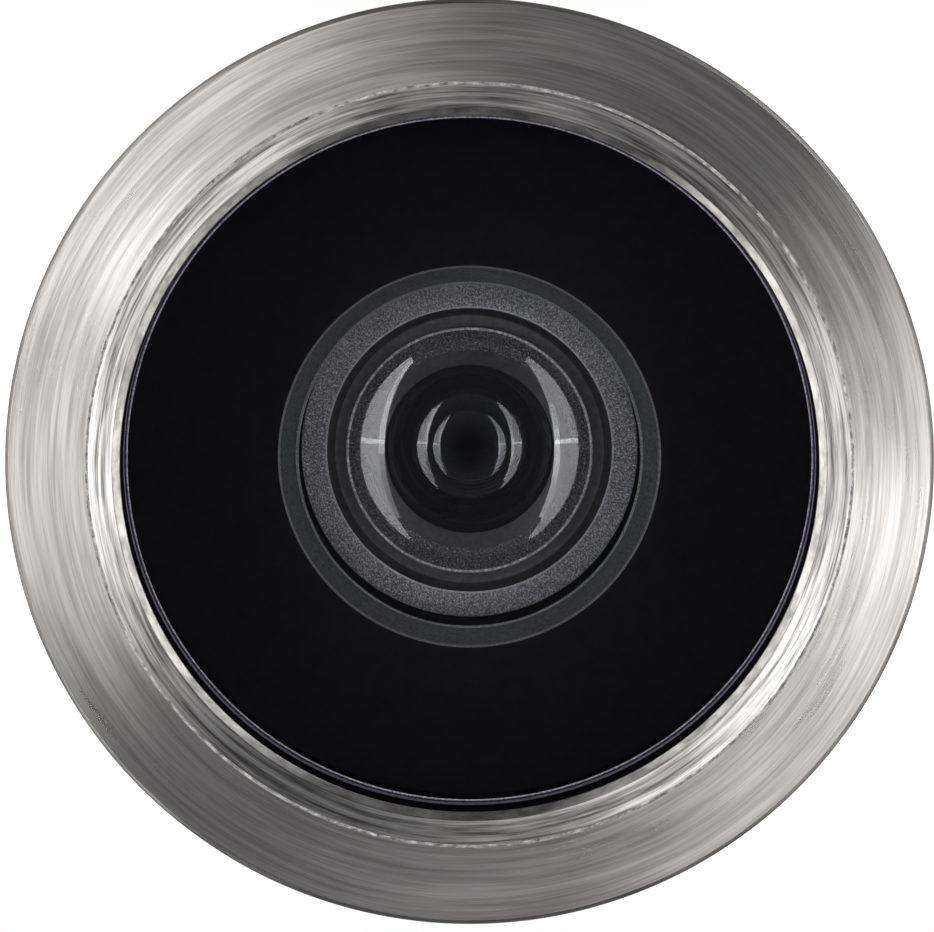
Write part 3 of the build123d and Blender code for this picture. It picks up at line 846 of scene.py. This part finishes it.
cover = cad_copy("privacy_cover_stamped", "privacy_cover", 0.08)
strip, tree, shader, position = finish_of("brushed_strip")
drawn_out = {0: position, 1: (9000.0, 2500.0, 260.0)}
drawn = node(tree, "ShaderNodeVectorMath", drawn_out, operation="MULTIPLY")
strokes = noise(tree, drawn.outputs[0], 1.0, 3.0, 0.6)
colour = two_tone(tree, spread(tree, strokes, 0.3, 0.7), NICKEL_DARK, NICKEL_LIGHT)
tree.links.new(colour, shader.inputs["Base Color"])
tree.links.new(spread(tree, strokes, 0.3, 0.7, 0.26, 0.40), shader.inputs["Roughness"])
raised(tree, shader, strokes, 0.3, 0.00002)
shader.inputs["Metallic"].default_value = 1.0
cover.data.materials.append(strip)
fitted(cover, "cover", ["privacy_cover"])


# Cover pad
# Disc cut from dense grey felt and glued into the cover. It rests over the eyepiece, curls back
# a little at its edge and is slightly uneven on its face.

PAD_RADIUS = 5.85
PAD_FACE = 48.11
PAD_EDGE = 48.27
PAD_BACK = 48.69
PAD_COLUMNS = 120

rings = np.linspace(0, 1, 40)
curl = np.linspace(0, 1, 10)[1:-1]
pad_face = np.stack([PAD_RADIUS * rings, PAD_FACE + (PAD_EDGE - PAD_FACE) * rings ** 6], 1)
pad_edge = np.stack([PAD_RADIUS + 0.04 * np.sin(np.pi * curl), PAD_EDGE + 0.40 * curl], 1)
pad_back = np.stack([PAD_RADIUS * rings[::-4], np.full(10, PAD_BACK)], 1)
pad_profile = np.concatenate([pad_face, pad_edge, pad_back, [[0.0, PAD_BACK]]])
pad_radius = np.repeat(pad_profile[:, :1], PAD_COLUMNS, 1)
pad_height = np.repeat(pad_profile[:, 1:], PAD_COLUMNS, 1)
pad_turn = 2 * np.pi * np.arange(PAD_COLUMNS) / PAD_COLUMNS
fluff = 0.012 * np.sin(11 * pad_turn + 3 * pad_radius) * np.sin(7 * pad_turn - 5 * pad_radius)
fluffed = pad_height + fluff * np.minimum(pad_radius, 1)
pad_height = np.where(pad_height < PAD_EDGE + 0.03, fluffed, pad_height)
pad = ring_mesh("cover_pad_felt", pad_radius, pad_height, closed=False)
felt, tree, shader, position = finish_of("grey_felt")
fibres = noise(tree, position, 7000.0, 6.0, 0.8, distortion=2.0)
tufts = noise(tree, position, 900.0, 4.0)
nap = spread(tree, arithmetic(tree, "MULTIPLY", fibres, tufts), 0.12, 0.42)
colour = two_tone(tree, nap, (0.07, 0.07, 0.075), (0.24, 0.24, 0.25))
tree.links.new(colour, shader.inputs["Base Color"])
raised(tree, shader, fibres, 0.9, 0.00008)
shader.inputs["Roughness"].default_value = 0.95
shader.inputs["Sheen Weight"].default_value = 0.3
pad.data.materials.append(felt)
fitted(pad, "cover", ["cover_pad"])


# Cover knob
# Small steel knob with a waist, turned in a lathe. Its stem is riveted through the cover's tab.

KNOB_Z = -9.6
STEEL_DARK = (0.50, 0.50, 0.50)
STEEL_LIGHT = (0.68, 0.68, 0.69)

knob_profile = softened([
    (0.0, 48.21),
    (0.58, 48.21, 0.05),
    (0.58, 49.60, 0.02),
    (1.50, 49.60, 0.08),
    (1.10, 50.50, 0.25),
    (1.50, 51.75, 0.20),
    (1.10, 52.20, 0.12),
    (0.0, 52.20),
], closed=False, steps=6)
knob = turned("cover_knob_turned", knob_profile, closed=False, columns=96, z=KNOB_Z)
knob_steel = turned_metal(
    "turned_steel_knob", dark=STEEL_DARK, light=STEEL_LIGHT, fineness=7000.0, length=2.0,
    roughness=0.22, relief=0.4, centre=(0, 0, KNOB_Z * MM))
knob.data.materials.append(knob_steel)
fitted(knob, "cover", ["cover_knob"])


# Cover pivot
# Shoulder screw of turned steel with a slotted head. Its shank is screwed into the flange, and
# the cover swings on its shoulder.

PIVOT_Z = 11.0

pivot = cad_copy("cover_pivot_turned", "cover_pivot", 0.05)
pivot_steel = turned_metal(
    "turned_steel_pivot", dark=STEEL_DARK, light=STEEL_LIGHT, fineness=7000.0, length=2.0,
    roughness=0.24, relief=0.4, centre=(0, 0, PIVOT_Z * MM))
pivot.data.materials.append(pivot_steel)
fitted(pivot, "sleeve", ["cover_pivot"])


# Spring washer
# Thin conical washer pressed from spring steel. It lies under the pivot's head and gives the
# cover its drag.

spring_profile = softened([
    (1.57, 49.80, 0.04),
    (2.20, 49.61, 0.05),
    (2.20, 49.85, 0.05),
    (1.57, 50.04, 0.04),
])
spring = turned("spring_washer_pressed", spring_profile, columns=96, z=PIVOT_Z)
spring_steel = turned_metal(
    "spring_steel", dark=(0.34, 0.34, 0.36), light=(0.50, 0.50, 0.52), fineness=5000.0, length=2.0,
    roughness=0.32, relief=0.3, centre=(0, 0, PIVOT_Z * MM))
spring.data.materials.append(spring_steel)
fitted(spring, "sleeve", ["spring_washer"])


# Stop pin
# Steel pin with a domed end. It is pressed into the flange beside the cover's neck and ends the
# cover's swing.

PIN_DISTANCE = 9.2
PIN_X = 2.82
PIN_Z = float(np.sqrt(PIN_DISTANCE ** 2 - PIN_X ** 2))

pin_profile = softened([
    (0.0, 46.41),
    (0.58, 46.41, 0.06),
    (0.58, 49.60, 0.30),
    (0.0, 49.60),
], closed=False, steps=8)
pin = turned("stop_pin_turned", pin_profile, closed=False, columns=64, x=PIN_X, z=PIN_Z)
pin_steel = turned_metal(
    "turned_steel_pin", dark=(0.50, 0.50, 0.50), light=(0.66, 0.66, 0.67), fineness=7000.0,
    length=2.0, roughness=0.2, relief=0.3, centre=(PIN_X * MM, 0, PIN_Z * MM))
pin.data.materials.append(pin_steel)
fitted(pin, "sleeve", ["stop_pin"])


# Studio
# Pale floor, a tall softbox on either side of the viewer, and a surround that is dark behind the
# camera and white behind the viewer. The camera itself sees the surround white all round.


def ways_seen(tree):
    """Light Path as two masks: rays straight from the camera, and those together with the rays
    that metal and glass send on."""
    path = tree.nodes.new("ShaderNodeLightPath").outputs
    mirrored = arithmetic(tree, "MAXIMUM", path["Is Glossy Ray"], path["Is Transmission Ray"])
    return path["Is Camera Ray"], arithmetic(tree, "MAXIMUM", path["Is Camera Ray"], mirrored)


FLOOR_Z = -14.1 * MM
FLOOR_HALF_WIDTH = 0.3
FLOOR_FRONT = 0.005
FLOOR_BACK = 0.5

floor_mesh = bpy.data.meshes.new("floor")
corners = [
    (-FLOOR_HALF_WIDTH, FLOOR_FRONT, FLOOR_Z),
    (FLOOR_HALF_WIDTH, FLOOR_FRONT, FLOOR_Z),
    (FLOOR_HALF_WIDTH, FLOOR_BACK, FLOOR_Z),
    (-FLOOR_HALF_WIDTH, FLOOR_BACK, FLOOR_Z),
]
floor_mesh.from_pydata(corners, [], [(0, 1, 2, 3)])
floor = bpy.data.objects.new("floor", floor_mesh)
bpy.context.scene.collection.objects.link(floor)
pale, tree, shader, position = finish_of("pale_floor")
shader.inputs["Base Color"].default_value = (0.8, 0.8, 0.8, 1)
shader.inputs["Roughness"].default_value = 0.9
straight, shown = ways_seen(tree)
shader.inputs["Emission Color"].default_value = (1, 1, 1, 1)
tree.links.new(arithmetic(tree, "MULTIPLY", shown, 0.7), shader.inputs["Emission Strength"])
floor_mesh.materials.append(pale)

# The surround's shade by direction, from 0 straight behind the camera to 1 straight behind the
# viewer. Its greys are a little blue, and its white is plain.
shade_places = (0.0, 0.03, 0.067, 0.146, 0.25, 0.6, 0.9)
shade_greys = (0.025, 0.04, 0.10, 0.15, 0.20, 0.20, 1.0)
world = bpy.data.worlds.new("studio")
bpy.context.scene.world = world
world.use_nodes = True
tree = world.node_tree
tree.nodes.clear()
direction = node(tree, "ShaderNodeTexCoord").outputs["Generated"]
split = node(tree, "ShaderNodeSeparateXYZ", {0: direction})
backdrop = node(tree, "ShaderNodeValToRGB", {0: spread(tree, split.outputs[1], -1.0, 1.0)})
ramp = backdrop.color_ramp
ramp.elements[1].position = shade_places[-1]
for place in shade_places[1:-1]:
    ramp.elements.new(place)
for stop, grey in zip(ramp.elements, shade_greys):
    blue = grey * 1.08 if grey < 1.0 else grey
    stop.color = (grey, grey, blue, 1)
straight, shown = ways_seen(tree)
surround = node(tree, "ShaderNodeMix", {0: straight}, data_type="RGBA")
tree.links.new(backdrop.outputs[0], surround.inputs[6])
surround.inputs[7].default_value = (1, 1, 1, 1)
strength = spread(tree, shown, 0.0, 1.0, 0.8, 1.0)
back = node(tree, "ShaderNodeBackground", {"Color": surround.outputs[2], "Strength": strength})
node(tree, "ShaderNodeOutputWorld", {"Surface": back.outputs[0]})


def softbox(name, place, width, height, radiance):
    """Upright rectangular area lamp at a place in metres, which faces straight along X towards
    the viewer's middle plane. Its power gives the stated radiance, where 1 shows as white."""
    lamp = bpy.data.lights.new(name, "AREA")
    lamp.shape = "RECTANGLE"
    lamp.size = width
    lamp.size_y = height
    lamp.energy = radiance * np.pi * width * height
    holder = bpy.data.objects.new(name, lamp)
    bpy.context.scene.collection.objects.link(holder)
    holder.location = place
    away = Vector((place[0], 0, 0)).normalized()
    side = Vector((0, 0, 1)).cross(away).normalized()
    up = away.cross(side)
    holder.rotation_mode = "QUATERNION"
    holder.rotation_quaternion = Matrix((side, up, away)).transposed().to_quaternion()


# Both boxes are brighter along their front edge, most of all near the viewer's height, and each
# has a bright line where its lamp sits. The lists give the heights in metres at which the front
# edge changes and its radiance from each height to the next.
left_heights = (-0.45, -0.12, -0.03, 0.05, 0.20, 0.28, 0.70)
left_edge = (3.0, 4.5, 8.5, 16.5, 14.0, 9.5)
right_heights = (-0.45, -0.16, -0.05, 0.10, 0.24, 0.70)
right_edge = (6.0, 10.0, 12.5, 7.0, 4.5)
for label, x, level, heights, edge in (
    ("left", -0.45, 5.5, left_heights, left_edge),
    ("right", 0.45, 4.3, right_heights, right_edge),
):
    softbox(label + "_box", (x, -0.222, 0.0), 0.236, 1.40, level)
    softbox(label + "_lamp", (x * 0.995, -0.247, 0.03), 0.286, 0.022, 8.0)
    for bottom, top, radiance in zip(heights[:-1], heights[1:], edge):
        softbox(label + "_edge", (x, -0.368, (bottom + top) / 2), 0.056, top - bottom, radiance)

CAMERA_ELEVATION = np.radians(5.0)
CAMERA_DISTANCE = 0.15
IMAGE_WIDTH = 934
PIXELS_PER_MM = 33.15

camera_data = bpy.data.cameras.new("camera")
camera = bpy.data.objects.new("camera", camera_data)
bpy.context.scene.collection.objects.link(camera)
bpy.context.scene.camera = camera
target = Vector((-0.000078, -0.0078, 0.000001))
away = Vector((0, -np.cos(CAMERA_ELEVATION), np.sin(CAMERA_ELEVATION)))
camera.location = target + away * CAMERA_DISTANCE
camera.rotation_mode = "QUATERNION"
camera.rotation_quaternion = away.to_track_quat("Z", "Y")
camera_data.sensor_width = 36.0
camera_data.lens = 36.0 * CAMERA_DISTANCE / (IMAGE_WIDTH / PIXELS_PER_MM * MM)
camera_data.clip_start = 0.01
camera_data.clip_end = 20.0

bpy.context.scene.view_settings.view_transform = "Standard"
